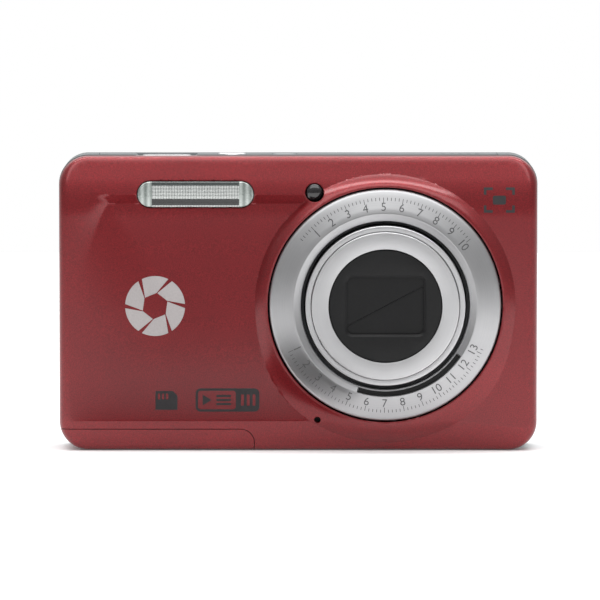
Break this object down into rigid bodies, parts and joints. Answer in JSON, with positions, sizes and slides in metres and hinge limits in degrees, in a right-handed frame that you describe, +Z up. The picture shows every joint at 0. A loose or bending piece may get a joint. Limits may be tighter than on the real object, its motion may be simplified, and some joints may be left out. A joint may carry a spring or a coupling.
{
  "type": "compact digital camera",
  "caption": "Slim pocket digital camera: red front, grey back, off-centre retracting zoom lens in a wide silver ring, flash, rear screen and base door.",
  "frame": {"origin": "centre of the footprint, on the base plane", "axes": "the lens faces -Y and the screen +Y; +Z is up towards the shutter button; +X is to the right when the lens is looked at from the front"},
  "size_m": [0.0916, 0.023, 0.0565],
  "materials": {
    "red_enamel": "satin",
    "grey_shell": "satin",
    "grey_buttons": "satin",
    "bright_buttons": "polished",
    "silver_ring": "satin",
    "silver_barrel": "satin",
    "black_plastic": "matt",
    "barrier_black": "satin",
    "dark_frame": "matt",
    "lens_glass": "clear",
    "lamp_glass": "tinted",
    "flash_plastic": "ribbed",
    "mirror_metal": "polished",
    "steel": "brushed",
    "brass_gear": "satin",
    "gold_contact": "polished",
    "circuit_board": "satin",
    "screen_glass": "gloss",
    "display_cell": "satin",
    "battery_wrap": "matt",
    "card_blue": "matt",
    "latch_orange": "satin",
    "capacitor_sleeve": "gloss",
    "sensor_black": "gloss"
  },
  "bodies": {
    "case": {"front_cover": "red_enamel", "rear_cover": "grey_shell", "top_cover": "grey_shell", "chassis": "dark_frame", "case_screws": "steel", "tripod_bush": "steel", "strap_lug": "steel", "usb_socket": "steel", "lens_ring": "silver_ring", "lens_housing": "dark_frame", "zoom_gearbox": "dark_frame", "zoom_motor": "steel", "guide_rods": "steel", "image_sensor": "sensor_black", "sensor_plate": "steel", "main_board": "circuit_board", "key_board": "circuit_board", "top_board": "circuit_board", "lcd_module": "display_cell", "screen_cover": "screen_glass", "flash_window": "flash_plastic", "flash_reflector": "mirror_metal", "flash_tube": "lens_glass", "flash_capacitor": "capacitor_sleeve", "focus_lamp": "lamp_glass", "microphone": "steel", "speaker": "dark_frame", "battery": "battery_wrap", "battery_box": "dark_frame", "battery_contacts": "gold_contact", "card_socket": "steel", "door_pin": "steel"},
    "flap": {"port_cover": "grey_shell"},
    "cam": {"cam_ring": "dark_frame"},
    "pinion": {"zoom_pinion": "brass_gear"},
    "outer_barrel": {"barrel_outer": "silver_barrel"},
    "front_barrel": {"barrel_front": "silver_barrel", "front_cap": "black_plastic", "front_lens_frame": "dark_frame", "front_lens": "lens_glass"},
    "upper_blade": {"blade_upper": "barrier_black"},
    "lower_blade": {"blade_lower": "barrier_black"},
    "zoom_group": {"zoom_lens_frame": "dark_frame", "zoom_lens": "lens_glass"},
    "focus_group": {"focus_frame": "dark_frame", "focus_lens": "lens_glass"},
    "latch": {"battery_latch": "latch_orange"},
    "card": {"memory_card": "card_blue"},
    "carrier": {"door_carrier": "steel"},
    "door": {"battery_door": "red_enamel"},
    "shutter": {"shutter_button": "bright_buttons"},
    "power": {"power_button": "bright_buttons"},
    "mode": {"mode_button": "grey_buttons"},
    "rocker": {"zoom_rocker": "grey_buttons"},
    "gimbal": {"nav_gimbal": "dark_frame"},
    "ring": {"nav_ring": "grey_buttons"},
    "ok": {"ok_button": "grey_buttons"},
    "play": {"play_button": "grey_buttons"},
    "display": {"display_button": "grey_buttons"},
    "menu": {"menu_button": "grey_buttons"}
  },
  "joints": [
    {"name": "cam_turn", "type": "hinge", "parent": "case", "child": "cam", "pos_m": [0.01655, 0, 0.028], "axis": [0, 1, 0], "range_deg": [0, 100.2]},
    {"name": "pinion_turn", "type": "hinge", "parent": "case", "child": "pinion", "pos_m": [0.03216, 0, 0.01395], "axis": [0, -1, 0], "range_deg": [0, 601.2]},
    {"name": "outer_extend", "type": "slide", "parent": "case", "child": "outer_barrel", "axis": [0, -1, 0], "range_m": [0, 0.009]},
    {"name": "front_extend", "type": "slide", "parent": "outer_barrel", "child": "front_barrel", "axis": [0, -1, 0], "range_m": [0, 0.00902]},
    {"name": "zoom_group_travel", "type": "slide", "parent": "case", "child": "zoom_group", "axis": [0, -1, 0], "range_m": [0, 0.01002]},
    {"name": "focus_travel", "type": "slide", "parent": "case", "child": "focus_group", "axis": [0, -1, 0], "range_m": [0, 0.001]},
    {"name": "upper_blade_turn", "type": "hinge", "parent": "front_barrel", "child": "upper_blade", "pos_m": [0.02829, 0, 0.0255], "axis": [0, 1, 0], "range_deg": [0, 29]},
    {"name": "lower_blade_turn", "type": "hinge", "parent": "front_barrel", "child": "lower_blade", "pos_m": [0.00481, 0, 0.0305], "axis": [0, 1, 0], "range_deg": [0, 29.1]},
    {"name": "shutter_press", "type": "slide", "parent": "case", "child": "shutter", "axis": [0, 0, -1], "range_m": [0, 0.001], "stiffness_N_per_m": 1500},
    {"name": "power_press", "type": "slide", "parent": "case", "child": "power", "axis": [0, 0, -1], "range_m": [0, 0.0005], "stiffness_N_per_m": 3000},
    {"name": "mode_press", "type": "slide", "parent": "case", "child": "mode", "axis": [0, 0, -1], "range_m": [0, 0.0005], "stiffness_N_per_m": 3000},
    {"name": "zoom_rocker_tilt", "type": "hinge", "parent": "case", "child": "rocker", "pos_m": [-0.0305, 0.00975, 0.0485], "axis": [0, 0, 1], "range_deg": [-4, 4], "stiffness_Nm_per_rad": 0.12},
    {"name": "pad_tilt_up_down", "type": "hinge", "parent": "case", "child": "gimbal", "pos_m": [-0.0305, 0.0094, 0.026], "axis": [1, 0, 0], "range_deg": [-2.5, 2.5], "stiffness_Nm_per_rad": 0.2},
    {"name": "pad_tilt_left_right", "type": "hinge", "parent": "gimbal", "child": "ring", "pos_m": [-0.0305, 0.0094, 0.026], "axis": [0, 0, 1], "range_deg": [-2.5, 2.5], "stiffness_Nm_per_rad": 0.2},
    {"name": "ok_press", "type": "slide", "parent": "case", "child": "ok", "axis": [0, -1, 0], "range_m": [0, 0.0003], "stiffness_N_per_m": 4000},
    {"name": "play_press", "type": "slide", "parent": "case", "child": "play", "axis": [0, -1, 0], "range_m": [0, 0.00035], "stiffness_N_per_m": 4000},
    {"name": "display_press", "type": "slide", "parent": "case", "child": "display", "axis": [0, -1, 0], "range_m": [0, 0.00035], "stiffness_N_per_m": 4000},
    {"name": "menu_press", "type": "slide", "parent": "case", "child": "menu", "axis": [0, -1, 0], "range_m": [0, 0.00035], "stiffness_N_per_m": 4000},
    {"name": "door_swing", "type": "hinge", "parent": "case", "child": "carrier", "pos_m": [-0.0093, 0, 0.0009], "axis": [0, -1, 0], "range_deg": [0, 85]},
    {"name": "door_slide", "type": "slide", "parent": "carrier", "child": "door", "axis": [-1, 0, 0], "range_m": [0, 0.0025]},
    {"name": "latch_slide", "type": "slide", "parent": "case", "child": "latch", "axis": [1, 0, 0], "range_m": [0, 0.0016], "stiffness_N_per_m": 300},
    {"name": "card_push", "type": "slide", "parent": "case", "child": "card", "axis": [0, 0, 1], "range_m": [0, 0.0008], "stiffness_N_per_m": 1500},
    {"name": "port_flap_swing", "type": "hinge", "parent": "case", "child": "flap", "pos_m": [0.0454, 0.0066, 0.0229], "axis": [0, 0, 1], "range_deg": [0, 95]}
  ],
  "couplings": [
    {"joint": "cam_turn", "follows": "outer_extend", "rad_per_m": 193.93},
    {"joint": "pinion_turn", "follows": "outer_extend", "rad_per_m": 1163.6},
    {"joint": "front_extend", "follows": "outer_extend", "ratio": 1},
    {"joint": "zoom_group_travel", "follows": "outer_extend", "ratio": 1.1111},
    {"joint": "lower_blade_turn", "follows": "upper_blade_turn", "ratio": 1}
  ]
}
